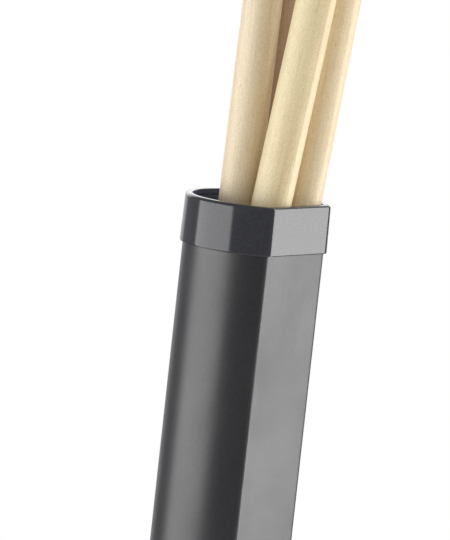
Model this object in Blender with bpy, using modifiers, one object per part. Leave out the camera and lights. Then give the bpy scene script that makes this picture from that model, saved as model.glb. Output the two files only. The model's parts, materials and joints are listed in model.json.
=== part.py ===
"""A drumstick holder that clamps to a stand pole.

A tube with a D-shaped section holds four drumsticks. A saddle on its round back tilts on the tongue
of a C-clamp, whose screw presses a jaw against the pole. Units are metres and +Z is up. The origin is
on the pole's axis at the clamp's mid-height, and +X points from the pole to the tube.
"""

from math import atan2, cos, pi, radians, sin, sqrt, tan

import bmesh
import bpy
from mathutils import Vector

GAP = 0.0003  # left between pieces that touch
MERGE_DISTANCE = 0.00001  # vertices closer than this are one
SMALL_EDGE = 0.0003  # a sharp edge's chamfer
SOFT_EDGE = 0.0004  # an inner edge's chamfer

# The tube: a circle cut by one flat.
TUBE_RADIUS = 0.02625
TUBE_FLAT = 0.01905  # from the tube's axis to the flat
CORNER_RADIUS = 0.0032
TUBE_WALL = 0.0018
RIM_HEIGHT = 0.158  # from the tilt axis up to the collar's top
STICK_DEPTH = 0.196  # from the collar's top down to the pad
COLLAR_HEIGHT = 0.0180
COLLAR_OVERHANG = 0.00115
COLLAR_DRAFT = 0.0003  # how much the overhang shrinks up to the rim
COLLAR_LIP = 0.002
COLLAR_EDGE = 0.0015  # its outer top edge's radius
PAD_THICKNESS = 0.004
CAP_PLUG = 0.006
CAP_FLANGE = 0.0032
CAP_EDGE = 0.001
CAP_PLUG_EDGE = 0.0005

# The tilt joint.
PIVOT_X = 0.026
PIVOT_TO_TUBE = 0.01125  # from the tilt axis to the tube's back
LEAN = radians(7.67)
TONGUE_RADIUS = 0.007
TONGUE_HALF_WIDTH = 0.004
DISC_THICKNESS = 0.001
EAR_THICKNESS = 0.003
EAR_RADIUS = 0.0075
EAR_HALF_HEIGHT = 0.0115  # where it meets the saddle
EAR_SHOULDER_X = 0.003  # where its round end stops, from the tilt axis
BOLT_RADIUS = 0.003
WASHER_THICKNESS = 0.001
WASHER_RADIUS = 0.006
KNOB_RADIUS = 0.0105
KNOB_LOBE_DEPTH = 0.0022
KNOB_LENGTH = 0.0115
KNOB_EDGE = 0.0012
KNOB_SOCKET_DEPTH = 0.0098  # of both knobs
BOLT_HEAD_RADIUS = 0.0057
BOLT_HEAD_HEIGHT = 0.004
BOLT_HEAD_EDGE = 0.0004
BOLT_REACH = 0.0106  # past the front ear
INSERT_RADIUS = 0.0048
INSERT_LENGTH = 0.006

# The saddle.
SADDLE_THICKNESS = 0.0027
SADDLE_HALF_HEIGHT = 0.016
SADDLE_HALF_ANGLE = radians(27)
SADDLE_EDGE = 0.0006
SCREW_HEIGHT = 0.0102  # of the saddle's screws above and below the tilt axis
SCREW_RADIUS = 0.0019
SCREW_LENGTH = 0.0098  # of the saddle's screws
SCREW_HEAD = 0.0009  # depth of the countersunk head
SCREW_PROUD = 0.0002  # how far the head stands out of the plate
NUT_RADIUS = 0.004
NUT_THICKNESS = 0.003
BACKING_THICKNESS = 0.0012
BACKING_HALF_WIDTH = 0.007
BACKING_HALF_HEIGHT = 0.0145

# The clamp.
POLE_RADIUS = 0.011
V_HALF_ANGLE = radians(60)
JAW_PAD = 0.0012
CLAMP_HALF_HEIGHT = 0.012
BLOCK_FRONT_X = 0.018
BLOCK_HALF_WIDTH = 0.0095
BLOCK_CORNER = 0.0015
LIP_CORNER = 0.001  # of the V block's lips, and how far they stand in front of the spine's root
SPINE_INNER_Y = 0.0165
SPINE_OUTER_Y = 0.0235
ARM_INNER_X = -0.030
ARM_OUTER_X = -0.040
ARM_CORNER = 0.003
ARM_ROOT_INNER = 0.004  # the radii where the arm and the block meet the spine
ARM_ROOT_OUTER = 0.0062
BLOCK_ROOT_INNER = 0.003
BLOCK_ROOT_OUTER = 0.009
CLAMP_EDGE = 0.0009
PAD_MARGIN = 0.0008  # the fixed pad stops short of the block's sides by this much
BUSH_RADIUS = 0.0062
CLAMP_SCREW_RADIUS = 0.004
CLAMP_KNOB_RADIUS = 0.016
CLAMP_KNOB_LOBE_DEPTH = 0.0035
CLAMP_KNOB_X = -0.051
CLAMP_KNOB_LENGTH = 0.014
CLAMP_KNOB_EDGE = 0.0016
KNOB_COLLAR_RADIUS = 0.0075
KNOB_COLLAR_LENGTH = 0.003  # how far it stands out of the clamp's knob
JAW_HALF_WIDTH = 0.009
JAW_THICKNESS = 0.0035
JAW_CORNER = 0.002
JAW_EDGE = 0.0008
JAW_OVERLAP = 0.001  # how far the boss runs into the plate
JAW_BOSS_RADIUS = 0.0062
JAW_BOSS_X = -0.0205
JAW_SOCKET_RADIUS = 0.0044
JAW_SOCKET_DEPTH = 0.0062
SCREW_NOSE_RADIUS = 0.0037
SCREW_NECK_RADIUS = 0.0023
SCREW_NECK_LENGTH = 0.0016  # of the nose in front of the neck
SCREW_SHOULDER = 0.0006  # the chamfer behind the neck
SCREW_SHOULDER_GAP = 0.0002  # from the shoulder to the jaw's boss
CLIP_RADIUS = 0.0041
CLIP_THICKNESS = 0.001

# The sticks, and where each crosses the collar's top and the pad, from the tube's axis.
STICK_LENGTH = 0.406
STICK_RADIUS = 0.0073
STICK_EDGE = 0.0018  # the butt's rounded edge
STICK_SHOULDER = 0.306  # heights from the butt: where the taper starts, the neck and the tip's middle
STICK_NECK = 0.391
STICK_TIP = 0.3985
STICK_NECK_RADIUS = 0.0030
STICK_TIP_RADIUS = 0.0046
STICKS = {
    "stick_1": ((-0.00876, -0.00059), (-0.01449, 0.00303)),
    "stick_2": ((0.00953, -0.00533), (-0.01058, -0.01297)),
    "stick_3": ((0.00955, 0.01376), (0.0006, -0.00267)),
    "stick_4": ((-0.00713, 0.01514), (-0.00592, 0.01565)),
}

TUBE_X = PIVOT_TO_TUBE + TUBE_RADIUS  # the tube's axis, from the tilt axis
PAD_TOP = RIM_HEIGHT - STICK_DEPTH
CAP_PLUG_TOP = PAD_TOP - PAD_THICKNESS - GAP
TUBE_BOTTOM = CAP_PLUG_TOP - CAP_PLUG
TUBE_TOP = RIM_HEIGHT - COLLAR_LIP - GAP
ARC_STEP = radians(9)


# Scene and materials


def clear_scene():
    for old in list(bpy.data.objects):
        bpy.data.objects.remove(old)


def new_collection(name):
    made = bpy.data.collections.new(name)
    bpy.context.scene.collection.children.link(made)
    return made


def material(name, colour, roughness, metallic=0.0):
    made = bpy.data.materials.new(name)
    made.use_nodes = True
    shader = made.node_tree.nodes["Principled BSDF"]
    shader.inputs["Base Color"].default_value = (*colour, 1)
    shader.inputs["Roughness"].default_value = roughness
    shader.inputs["Metallic"].default_value = metallic
    return made


clear_scene()
PARTS = new_collection("drumstick_holder")
CUTTERS = new_collection("cutters")


# Outlines


def arc(centre, radius, start, end):
    """Points along an arc, both ends included."""
    steps = max(2, round(abs(end - start) / ARC_STEP))
    angles = [start + (end - start) * i / steps for i in range(steps + 1)]
    return [(centre[0] + radius * cos(a), centre[1] + radius * sin(a)) for a in angles]


def circle(radius, sides=24):
    return [(radius * cos(2 * pi * i / sides), radius * sin(2 * pi * i / sides)) for i in range(sides)]


def d_outline(inset=0.0):
    """The tube's section, a circle with one flat facing +X, moved inwards by inset."""
    radius = TUBE_RADIUS - inset
    flat = TUBE_FLAT - inset
    corner = max(CORNER_RADIUS - inset, SOFT_EDGE)
    corner_x = flat - corner
    corner_y = sqrt((radius - corner) ** 2 - corner_x**2)
    tangent = atan2(corner_y, corner_x)
    # the same number of points for every inset, so that outlines can be lofted
    turns = [(0, 0, radius, tangent, 2 * pi - tangent, 36)]
    turns += [(corner_x, -corner_y, corner, -tangent, 0, 4), (corner_x, corner_y, corner, 0, tangent, 4)]
    points = []
    for x, y, r, start, end, steps in turns:
        angles = [start + (end - start) * i / steps for i in range(steps)]
        points += [(x + r * cos(a), y + r * sin(a)) for a in angles]
    points.insert(40, (flat, -corner_y))
    return points


def rounded_outline(corners):
    """An outline through (x, y, radius) corners, each rounded by its radius."""
    points = []
    for i, (x, y, radius) in enumerate(corners):
        here = Vector((x, y))
        before = (Vector(corners[i - 1][:2]) - here).normalized()
        after = (Vector(corners[(i + 1) % len(corners)][:2]) - here).normalized()
        if radius == 0:
            points.append((x, y))
            continue
        half = before.angle(after) / 2
        centre = here + (before + after).normalized() * radius / sin(half)
        first = here + before * radius / tan(half) - centre
        last = here + after * radius / tan(half) - centre
        start = atan2(first.y, first.x)
        turn = (atan2(last.y, last.x) - start + pi) % (2 * pi) - pi
        points += arc(centre, radius, start, start + turn)
    return points


def star_outline(radius, lobes, depth, steps=8):
    """A knob's outline, with a round lobe each time that the cosine peaks."""
    count = lobes * steps
    angles = [2 * pi * i / count for i in range(count)]
    radii = [radius - depth * (1 - cos(lobes * a)) / 2 for a in angles]
    return [(r * cos(a), r * sin(a)) for r, a in zip(radii, angles)]


# Shapes


def add(name, mesh, look, parent, location=(0, 0, 0), rotation=(0, 0, 0)):
    made = bpy.data.objects.new(name, mesh)
    PARTS.objects.link(made)
    made.location = location
    made.rotation_euler = rotation
    made.parent = parent
    if look:
        mesh.materials.append(look)
    mesh.shade_smooth()
    mesh.set_sharp_from_angle(angle=radians(35))
    return made


def extrusion(outlines, thickness):
    """A mesh of a flat outline, with any further outlines as holes, spread evenly about z = 0."""
    curve = bpy.data.curves.new("outline", "CURVE")
    curve.dimensions = "2D"
    curve.fill_mode = "BOTH"
    curve.extrude = thickness / 2
    for outline in outlines:
        spline = curve.splines.new("POLY")
        spline.points.add(len(outline) - 1)
        for point, (x, y) in zip(spline.points, outline):
            point.co = (x, y, 0, 1)
        spline.use_cyclic_u = True
    guide = bpy.data.objects.new("outline", curve)
    bpy.context.scene.collection.objects.link(guide)
    graph = bpy.context.evaluated_depsgraph_get()
    mesh = bpy.data.meshes.new_from_object(guide.evaluated_get(graph))
    bpy.data.objects.remove(guide)
    shape = bmesh.new()
    shape.from_mesh(mesh)
    bmesh.ops.remove_doubles(shape, verts=shape.verts, dist=MERGE_DISTANCE)
    if len(outlines) == 1:
        bmesh.ops.dissolve_limit(shape, angle_limit=radians(1), verts=shape.verts, edges=shape.edges)
    bmesh.ops.recalc_face_normals(shape, faces=shape.faces)
    shape.to_mesh(mesh)
    shape.free()
    return mesh


def loft(sections, closed_ring=False):
    """A mesh through D sections given as (inset, height). A closed ring joins the last to the first."""
    shape = bmesh.new()
    rings = []
    for inset, height in sections:
        rings.append([shape.verts.new((x, y, height)) for x, y in d_outline(inset)])
    following = rings[1:] + rings[:1] if closed_ring else rings[1:]
    for lower, upper in zip(rings, following):
        for i in range(len(lower)):
            j = (i + 1) % len(lower)
            shape.faces.new((lower[i], lower[j], upper[j], upper[i]))
    if not closed_ring:
        shape.faces.new(rings[0])
        shape.faces.new(rings[-1])
    bmesh.ops.recalc_face_normals(shape, faces=shape.faces)
    mesh = bpy.data.meshes.new("loft")
    shape.to_mesh(mesh)
    shape.free()
    return mesh


def turned(name, profile, look, parent, location=(0, 0, 0), rotation=(0, 0, 0), steps=20):
    """A turned piece from (radius, height) points that run from its top down its outer side."""
    mesh = bpy.data.meshes.new(name)
    points = [(radius, 0, height) for radius, height in profile]
    mesh.from_pydata(points, [(i, i + 1) for i in range(len(points) - 1)], [])
    made = add(name, mesh, look, parent, location, rotation)
    screw = made.modifiers.new("turn", "SCREW")
    screw.steps = steps
    screw.render_steps = steps
    screw.use_merge_vertices = True
    screw.merge_threshold = MERGE_DISTANCE
    screw.use_smooth_shade = True
    return made


def bevel(piece, width, segments=2, angle=40):
    made = piece.modifiers.new("rounded edges", "BEVEL")
    made.width = width
    made.segments = segments
    made.limit_method = "ANGLE"
    made.angle_limit = radians(angle)
    return made


def combine(piece, tool, operation):
    """Joins tool to piece, or cuts it out, and hides tool."""
    PARTS.objects.unlink(tool)
    CUTTERS.objects.link(tool)
    tool.hide_render = True
    tool.display_type = "WIRE"
    made = piece.modifiers.new(tool.name, "BOOLEAN")
    made.object = tool
    made.operation = operation
    made.solver = "EXACT"


def drill(piece, name, radius, length, location, rotation, sides=20):
    tool = add(name, extrusion([circle(radius, sides)], length), None, piece.parent, location, rotation)
    combine(piece, tool, "DIFFERENCE")


def disc(radius, hole_radius, thickness, sides=24):
    return extrusion([circle(radius, sides), circle(hole_radius, sides)], thickness)


ALONG_X = (0, pi / 2, 0)  # turns local +Z to +X
ALONG_Y = (-pi / 2, 0, 0)  # turns local +Z to +Y
ACROSS_X = (pi / 2, 0, pi / 2)  # lays a flat outline drawn in XY in the YZ plane, upright
IN_XZ = (pi / 2, 0, 0)  # lays a flat outline drawn in XY in the XZ plane, upright


# Materials

SATIN_BLACK = material("satin_black_tube", (0.035, 0.035, 0.038), 0.42)
GLOSS_BLACK = material("gloss_black_collar", (0.02, 0.02, 0.022), 0.16)
MOULDED_BLACK = material("moulded_black", (0.03, 0.03, 0.032), 0.55)
RUBBER = material("black_rubber", (0.025, 0.025, 0.025), 0.85)
FOAM = material("grey_foam", (0.09, 0.09, 0.095), 0.95)
FIBRE = material("friction_fibre", (0.16, 0.14, 0.12), 0.9)
ZINC = material("zinc_plated_steel", (0.62, 0.63, 0.65), 0.32, 1.0)
BRASS = material("brass", (0.75, 0.58, 0.27), 0.3, 1.0)
MAPLE = material("lacquered_maple", (0.82, 0.69, 0.47), 0.45)


# Frames: the tilt axis carries the quiver, and each moving piece has an empty on its own joint's axis.


def frame(name, location, parent=None, rotation=(0, 0, 0)):
    made = bpy.data.objects.new(name, None)
    bpy.context.scene.collection.objects.link(made)
    made.location = location
    made.rotation_euler = rotation
    made.parent = parent
    return made


CLAMP = frame("clamp_frame", (0, 0, 0))
CLAMP_SCREW = frame("clamp_screw_frame", (0, 0, 0), CLAMP)
TILT = frame("tilt_frame", (PIVOT_X, 0, 0), CLAMP, (0, LEAN, 0))
TUBE = frame("tube_frame", (TUBE_X, 0, 0), TILT)


# The quiver


def quiver_tube():
    sections = [(0, TUBE_BOTTOM), (0, TUBE_TOP), (TUBE_WALL, TUBE_TOP), (TUBE_WALL, TUBE_BOTTOM)]
    tube = add("quiver_tube", loft(sections, closed_ring=True), SATIN_BLACK, TUBE)
    for side, height in (("upper", SCREW_HEIGHT), ("lower", -SCREW_HEIGHT)):
        place = (-TUBE_RADIUS + TUBE_WALL / 2, 0, height)
        drill(tube, f"tube_hole_{side}", SCREW_RADIUS + GAP, 4 * TUBE_WALL, place, ALONG_X, 16)


def top_collar():
    """A slightly tapered band with a lip over the tube's end. Its outer top edge is rounded."""
    bottom = RIM_HEIGHT - COLLAR_HEIGHT
    outer = COLLAR_DRAFT - COLLAR_OVERHANG
    sections = [(SMALL_EDGE - COLLAR_OVERHANG, bottom), (-COLLAR_OVERHANG, bottom + SMALL_EDGE)]
    for angle in (0, 22.5, 45, 67.5, 90):
        a = radians(angle)
        sections.append((outer + COLLAR_EDGE * (1 - cos(a)), RIM_HEIGHT - COLLAR_EDGE * (1 - sin(a))))
    sections += [
        (TUBE_WALL - SOFT_EDGE, RIM_HEIGHT),
        (TUBE_WALL, RIM_HEIGHT - SOFT_EDGE),
        (TUBE_WALL, RIM_HEIGHT - COLLAR_LIP),
        (-GAP, RIM_HEIGHT - COLLAR_LIP),
        (-GAP, bottom),
    ]
    add("top_collar", loft(sections, closed_ring=True), GLOSS_BLACK, TUBE)


def bottom_cap():
    under = TUBE_BOTTOM - GAP - CAP_FLANGE
    plug = TUBE_WALL + GAP
    sections = [
        (CAP_EDGE, under),
        (0.3 * CAP_EDGE, under + 0.3 * CAP_EDGE),
        (0, under + CAP_EDGE),
        (0, TUBE_BOTTOM - GAP),
        (plug, TUBE_BOTTOM - GAP),
        (plug, CAP_PLUG_TOP - CAP_PLUG_EDGE),
        (plug + CAP_PLUG_EDGE, CAP_PLUG_TOP - GAP),
    ]
    add("bottom_cap", loft(sections), MOULDED_BLACK, TUBE)


def stick_pad():
    inset = TUBE_WALL + 2 * GAP
    sections = [(inset, CAP_PLUG_TOP), (inset, PAD_TOP - SOFT_EDGE), (inset + SOFT_EDGE, PAD_TOP)]
    add("stick_pad", loft(sections), FOAM, TUBE)


def sticks():
    """Each stick is one turned piece: rounded butt, plain shaft, shoulder, neck and an oval tip."""
    edge = STICK_EDGE
    profile = [(0, STICK_LENGTH)]
    for angle in (60, 35, 0, -35):
        a = radians(angle)
        profile.append((STICK_TIP_RADIUS * cos(a), STICK_TIP + (STICK_LENGTH - STICK_TIP) * sin(a)))
    profile.append((STICK_NECK_RADIUS, STICK_NECK))
    for i in range(1, 5):
        share = i / 4
        swell = sin(share * pi / 2)
        height = STICK_NECK + (STICK_SHOULDER - STICK_NECK) * share
        profile.append((STICK_NECK_RADIUS + (STICK_RADIUS - STICK_NECK_RADIUS) * swell, height))
    profile += [(STICK_RADIUS, edge), (STICK_RADIUS - 0.3 * edge, 0.3 * edge), (STICK_RADIUS - edge, 0)]
    profile.append((0, 0))
    for name, (at_rim, at_pad) in STICKS.items():
        rim = Vector((*at_rim, RIM_HEIGHT))
        foot = Vector((*at_pad, PAD_TOP))
        along = (rim - foot).normalized()
        lift = GAP + (STICK_RADIUS - edge) * sqrt(1 - along.z**2)
        turned(name, profile, MAPLE, TUBE, foot + along * lift, along.to_track_quat("Z", "Y").to_euler())


# The saddle and the tilt joint


def saddle_bracket():
    """A curved plate on the tube's back, with two ears that hold the tilt bolt."""
    inner = TUBE_RADIUS + GAP
    outer = inner + SADDLE_THICKNESS
    start, end = pi - SADDLE_HALF_ANGLE, pi + SADDLE_HALF_ANGLE
    outline = arc((TUBE_X, 0), outer, start, end) + arc((TUBE_X, 0), inner, end, start)
    plate = extrusion([outline], 2 * SADDLE_HALF_HEIGHT)
    bracket = add("saddle_bracket", plate, MOULDED_BLACK, TILT)
    bevel(bracket, SADDLE_EDGE)
    ear_inner = TONGUE_HALF_WIDTH + DISC_THICKNESS + 2 * GAP
    reach = TUBE_X - sqrt(inner**2 - ear_inner**2) - GAP
    ear = [(reach, -EAR_HALF_HEIGHT), (reach, EAR_HALF_HEIGHT), (EAR_SHOULDER_X, EAR_RADIUS)]
    ear += arc((0, 0), EAR_RADIUS, radians(90), radians(270))
    ear.append((EAR_SHOULDER_X, -EAR_RADIUS))
    middle = ear_inner + EAR_THICKNESS / 2
    for side, y in (("front", -middle), ("rear", middle)):
        tool = add(f"ear_{side}", extrusion([ear], EAR_THICKNESS), None, TILT, (0, y, 0), IN_XZ)
        combine(bracket, tool, "UNION")
    drill(bracket, "ear_bore", BOLT_RADIUS + GAP, 4 * middle, (0, 0, 0), ALONG_Y)
    for side, height in (("upper", SCREW_HEIGHT), ("lower", -SCREW_HEIGHT)):
        place = (PIVOT_TO_TUBE, 0, height)
        drill(bracket, f"saddle_hole_{side}", SCREW_RADIUS + GAP, 4 * SADDLE_THICKNESS, place, ALONG_X, 16)


def backing_plate():
    """A thin curved plate inside the tube. The screws' heads sit flush in it."""
    outer = TUBE_RADIUS - TUBE_WALL - GAP
    inner = outer - BACKING_THICKNESS
    half = BACKING_HALF_WIDTH / outer
    outline = arc((0, 0), inner, pi - half, pi + half) + arc((0, 0), outer, pi + half, pi - half)
    plate = add("backing_plate", extrusion([outline], 2 * BACKING_HALF_HEIGHT), ZINC, TUBE)
    sink_radius = SCREW_RADIUS + 1.4 * GAP
    past = 3 * BACKING_THICKNESS
    profile = [(0, past), (sink_radius + SCREW_HEAD + past, past), (sink_radius, -SCREW_HEAD)]
    profile += [(sink_radius, -past), (0, -past)]
    for side, height in (("upper", SCREW_HEIGHT), ("lower", -SCREW_HEIGHT)):
        sink = turned(f"countersink_{side}", profile, None, TUBE, (-inner, 0, height), ALONG_X, 16)
        combine(plate, sink, "DIFFERENCE")


def saddle_screws():
    inner = TUBE_RADIUS - TUBE_WALL - GAP - BACKING_THICKNESS
    head_radius = SCREW_RADIUS + SCREW_HEAD + SCREW_PROUD
    profile = [
        (0, SCREW_PROUD),
        (head_radius, SCREW_PROUD),
        (SCREW_RADIUS, -SCREW_HEAD),
        (SCREW_RADIUS, SMALL_EDGE - SCREW_LENGTH),
        (SCREW_RADIUS - SMALL_EDGE, -SCREW_LENGTH),
        (0, -SCREW_LENGTH),
    ]
    nut_x = PIVOT_TO_TUBE - GAP - SADDLE_THICKNESS - GAP - NUT_THICKNESS / 2 - TUBE_X
    for side, height in (("upper", SCREW_HEIGHT), ("lower", -SCREW_HEIGHT)):
        turned(f"saddle_screw_{side}", profile, ZINC, TUBE, (-inner, 0, height), ALONG_X, 16)
        hexagon = extrusion([circle(NUT_RADIUS, 6), circle(SCREW_RADIUS + GAP, 12)], NUT_THICKNESS)
        add(f"saddle_nut_{side}", hexagon, ZINC, TUBE, (nut_x, 0, height), ALONG_X)


def friction_discs():
    middle = TONGUE_HALF_WIDTH + GAP + DISC_THICKNESS / 2
    for side, y in (("front", -middle), ("rear", middle)):
        mesh = disc(TONGUE_RADIUS - GAP, BOLT_RADIUS + GAP, DISC_THICKNESS)
        add(f"friction_disc_{side}", mesh, FIBRE, CLAMP, (PIVOT_X, y, 0), ALONG_Y)


def tilt_bolt_and_knob():
    """The bolt's head is at the rear (+Y), and the washer and knob are at the front."""
    ear_face = TONGUE_HALF_WIDTH + DISC_THICKNESS + 2 * GAP + EAR_THICKNESS
    head = add("tilt_bolt", extrusion([circle(BOLT_HEAD_RADIUS, 6)], BOLT_HEAD_HEIGHT), ZINC, TILT)
    head.rotation_euler = ALONG_Y
    head.location = (0, ear_face + GAP + BOLT_HEAD_HEIGHT / 2, 0)
    bevel(head, BOLT_HEAD_EDGE)
    bolt_end = -(ear_face + BOLT_REACH)
    shank_length = ear_face + GAP + BOLT_HEAD_HEIGHT / 4 - bolt_end
    place = (0, bolt_end + shank_length / 2, 0)
    shank = add("bolt_shank", extrusion([circle(BOLT_RADIUS, 20)], shank_length), None, TILT, place, ALONG_Y)
    combine(head, shank, "UNION")

    washer_y = -(ear_face + GAP + WASHER_THICKNESS / 2)
    washer = disc(WASHER_RADIUS, BOLT_RADIUS + GAP, WASHER_THICKNESS)
    add("tilt_washer", washer, ZINC, TILT, (0, washer_y, 0), ALONG_Y)

    knob_front = ear_face + GAP + WASHER_THICKNESS + GAP
    mesh = extrusion([star_outline(KNOB_RADIUS, 5, KNOB_LOBE_DEPTH)], KNOB_LENGTH)
    knob = add("tilt_knob", mesh, MOULDED_BLACK, TILT, (0, -knob_front - KNOB_LENGTH / 2, 0), ALONG_Y)
    bevel(knob, KNOB_EDGE)
    face = (0, -knob_front, 0)
    drill(knob, "knob_socket", INSERT_RADIUS + GAP, 2 * (INSERT_LENGTH + GAP), face, ALONG_Y)
    drill(knob, "knob_bore", BOLT_RADIUS + GAP, 2 * KNOB_SOCKET_DEPTH, face, ALONG_Y)
    insert = disc(INSERT_RADIUS, BOLT_RADIUS + GAP, INSERT_LENGTH)
    add("knob_insert", insert, BRASS, TILT, (0, -knob_front - INSERT_LENGTH / 2, 0), ALONG_Y)


# The clamp


def v_face_x(apex, y):
    """How far along X a V face lies at y, from its apex."""
    return apex - abs(y) / tan(V_HALF_ANGLE)


def clamp_body():
    """A C in plan: V block, spine and the arm that holds the screw, with the tilt joint's tongue."""
    touch = POLE_RADIUS / sin(V_HALF_ANGLE)
    apex = touch + (JAW_PAD + GAP) / sin(V_HALF_ANGLE)
    lip_x = v_face_x(apex, BLOCK_HALF_WIDTH)
    corners = [
        (BLOCK_FRONT_X, -BLOCK_HALF_WIDTH, BLOCK_CORNER),
        (BLOCK_FRONT_X, SPINE_OUTER_Y, BLOCK_ROOT_OUTER),
        (ARM_OUTER_X, SPINE_OUTER_Y, ARM_ROOT_OUTER),
        (ARM_OUTER_X, -BLOCK_HALF_WIDTH, ARM_CORNER),
        (ARM_INNER_X, -BLOCK_HALF_WIDTH, ARM_CORNER),
        (ARM_INNER_X, SPINE_INNER_Y, ARM_ROOT_INNER),
        (lip_x - LIP_CORNER, SPINE_INNER_Y, BLOCK_ROOT_INNER),
        (lip_x, BLOCK_HALF_WIDTH, LIP_CORNER),
        (apex, 0, 0),
        (lip_x, -BLOCK_HALF_WIDTH, LIP_CORNER),
    ]
    plan = extrusion([rounded_outline(corners)], 2 * CLAMP_HALF_HEIGHT)
    body = add("clamp_body", plan, MOULDED_BLACK, CLAMP)
    bevel(body, CLAMP_EDGE)
    tongue = arc((PIVOT_X, 0), TONGUE_RADIUS, radians(-90), radians(90))
    root = BLOCK_FRONT_X - BLOCK_CORNER
    tongue += [(root, TONGUE_RADIUS), (root, -TONGUE_RADIUS)]
    tool = add("tongue", extrusion([tongue], 2 * TONGUE_HALF_WIDTH), None, CLAMP, rotation=IN_XZ)
    combine(body, tool, "UNION")
    drill(body, "tongue_bore", BOLT_RADIUS + GAP, 4 * TONGUE_HALF_WIDTH, (PIVOT_X, 0, 0), ALONG_Y)
    arm_x = (ARM_INNER_X + ARM_OUTER_X) / 2
    arm_thickness = ARM_INNER_X - ARM_OUTER_X
    drill(body, "bush_seat", BUSH_RADIUS + GAP, 2 * arm_thickness, (arm_x, 0, 0), ALONG_X)
    bush = disc(BUSH_RADIUS, CLAMP_SCREW_RADIUS + GAP, arm_thickness)
    add("screw_bush", bush, BRASS, CLAMP, (arm_x, 0, 0), ALONG_X)


def fixed_jaw_pad():
    touch = POLE_RADIUS / sin(V_HALF_ANGLE)
    back = touch + JAW_PAD / sin(V_HALF_ANGLE)
    width = BLOCK_HALF_WIDTH - PAD_MARGIN
    outline = [(back, 0), (v_face_x(back, width), width), (v_face_x(touch, width), width)]
    outline += [(touch, 0), (v_face_x(touch, width), -width), (v_face_x(back, width), -width)]
    add("fixed_jaw_pad", extrusion([outline], 2 * (CLAMP_HALF_HEIGHT - LIP_CORNER)), RUBBER, CLAMP)


def pressure_jaw():
    """The jaw's plate and boss, and the pad on its front."""
    half = JAW_HALF_WIDTH
    square = [(x, y, JAW_CORNER) for x, y in ((half, half), (-half, half), (-half, -half), (half, -half))]
    pad_x = -POLE_RADIUS - JAW_PAD / 2
    pad = extrusion([rounded_outline(square)], JAW_PAD)
    add("moving_jaw_pad", pad, RUBBER, CLAMP, (pad_x, 0, 0), ACROSS_X)
    plate_x = -POLE_RADIUS - JAW_PAD - GAP
    plate = extrusion([rounded_outline(square)], JAW_THICKNESS)
    jaw = add("pressure_jaw", plate, MOULDED_BLACK, CLAMP, (plate_x - JAW_THICKNESS / 2, 0, 0), ACROSS_X)
    bevel(jaw, JAW_EDGE)
    boss_length = plate_x - JAW_OVERLAP - JAW_BOSS_X
    place = (JAW_BOSS_X + boss_length / 2, 0, 0)
    boss = add("jaw_boss", extrusion([circle(JAW_BOSS_RADIUS)], boss_length), None, CLAMP, place, ALONG_X)
    combine(jaw, boss, "UNION")
    drill(jaw, "jaw_socket", JAW_SOCKET_RADIUS, 2 * JAW_SOCKET_DEPTH, (JAW_BOSS_X, 0, 0), ALONG_X)


def clamp_screw():
    """The screw's nose turns in the jaw's boss, and a clip in its neck holds it there."""
    nose = JAW_BOSS_X + JAW_SOCKET_DEPTH - GAP
    neck_start = nose - SCREW_NECK_LENGTH
    neck_end = JAW_BOSS_X - SCREW_SHOULDER_GAP
    clip = arc((0, 0), CLIP_RADIUS, radians(25), radians(335))
    clip += arc((0, 0), SCREW_NECK_RADIUS + GAP, radians(335), radians(25))
    clip_x = neck_start - GAP - CLIP_THICKNESS / 2
    add("screw_clip", extrusion([clip], CLIP_THICKNESS), ZINC, CLAMP, (clip_x, 0, 0), ALONG_X)

    tail = CLAMP_KNOB_X - KNOB_SOCKET_DEPTH + GAP
    profile = [
        (0, nose),
        (SCREW_NOSE_RADIUS - GAP, nose),
        (SCREW_NOSE_RADIUS, nose - GAP),
        (SCREW_NOSE_RADIUS, neck_start),
        (SCREW_NECK_RADIUS, neck_start),
        (SCREW_NECK_RADIUS, neck_end),
        (CLAMP_SCREW_RADIUS - SCREW_SHOULDER, neck_end),
        (CLAMP_SCREW_RADIUS, neck_end - SCREW_SHOULDER),
        (CLAMP_SCREW_RADIUS, tail),
        (0, tail),
    ]
    turned("clamp_screw", profile, ZINC, CLAMP_SCREW, rotation=ALONG_X)


def clamp_knob():
    """A five-lobed knob on the clamp's screw, with a collar that faces the arm."""
    mesh = extrusion([star_outline(CLAMP_KNOB_RADIUS, 5, CLAMP_KNOB_LOBE_DEPTH)], CLAMP_KNOB_LENGTH)
    place = (CLAMP_KNOB_X - CLAMP_KNOB_LENGTH / 2, 0, 0)
    knob = add("clamp_knob", mesh, MOULDED_BLACK, CLAMP_SCREW, place, ALONG_X)
    bevel(knob, CLAMP_KNOB_EDGE)
    collar = extrusion([circle(KNOB_COLLAR_RADIUS)], 2 * KNOB_COLLAR_LENGTH)
    face = (CLAMP_KNOB_X, 0, 0)
    tool = add("knob_collar", collar, None, CLAMP_SCREW, face, ALONG_X)
    combine(knob, tool, "UNION")
    drill(knob, "screw_socket", CLAMP_SCREW_RADIUS + GAP, 2 * KNOB_SOCKET_DEPTH, face, ALONG_X)


quiver_tube()
top_collar()
bottom_cap()
stick_pad()
sticks()
saddle_bracket()
backing_plate()
saddle_screws()
friction_discs()
tilt_bolt_and_knob()
clamp_body()
fixed_jaw_pad()
pressure_jaw()
clamp_screw()
clamp_knob()
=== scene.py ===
"""The looks of the clamp-on drumstick holder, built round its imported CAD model."""

import json
from math import atan2, ceil, cos, exp, pi, radians, sin, sqrt, tan

import bmesh
import bpy
from mathutils import Matrix, Vector


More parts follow.
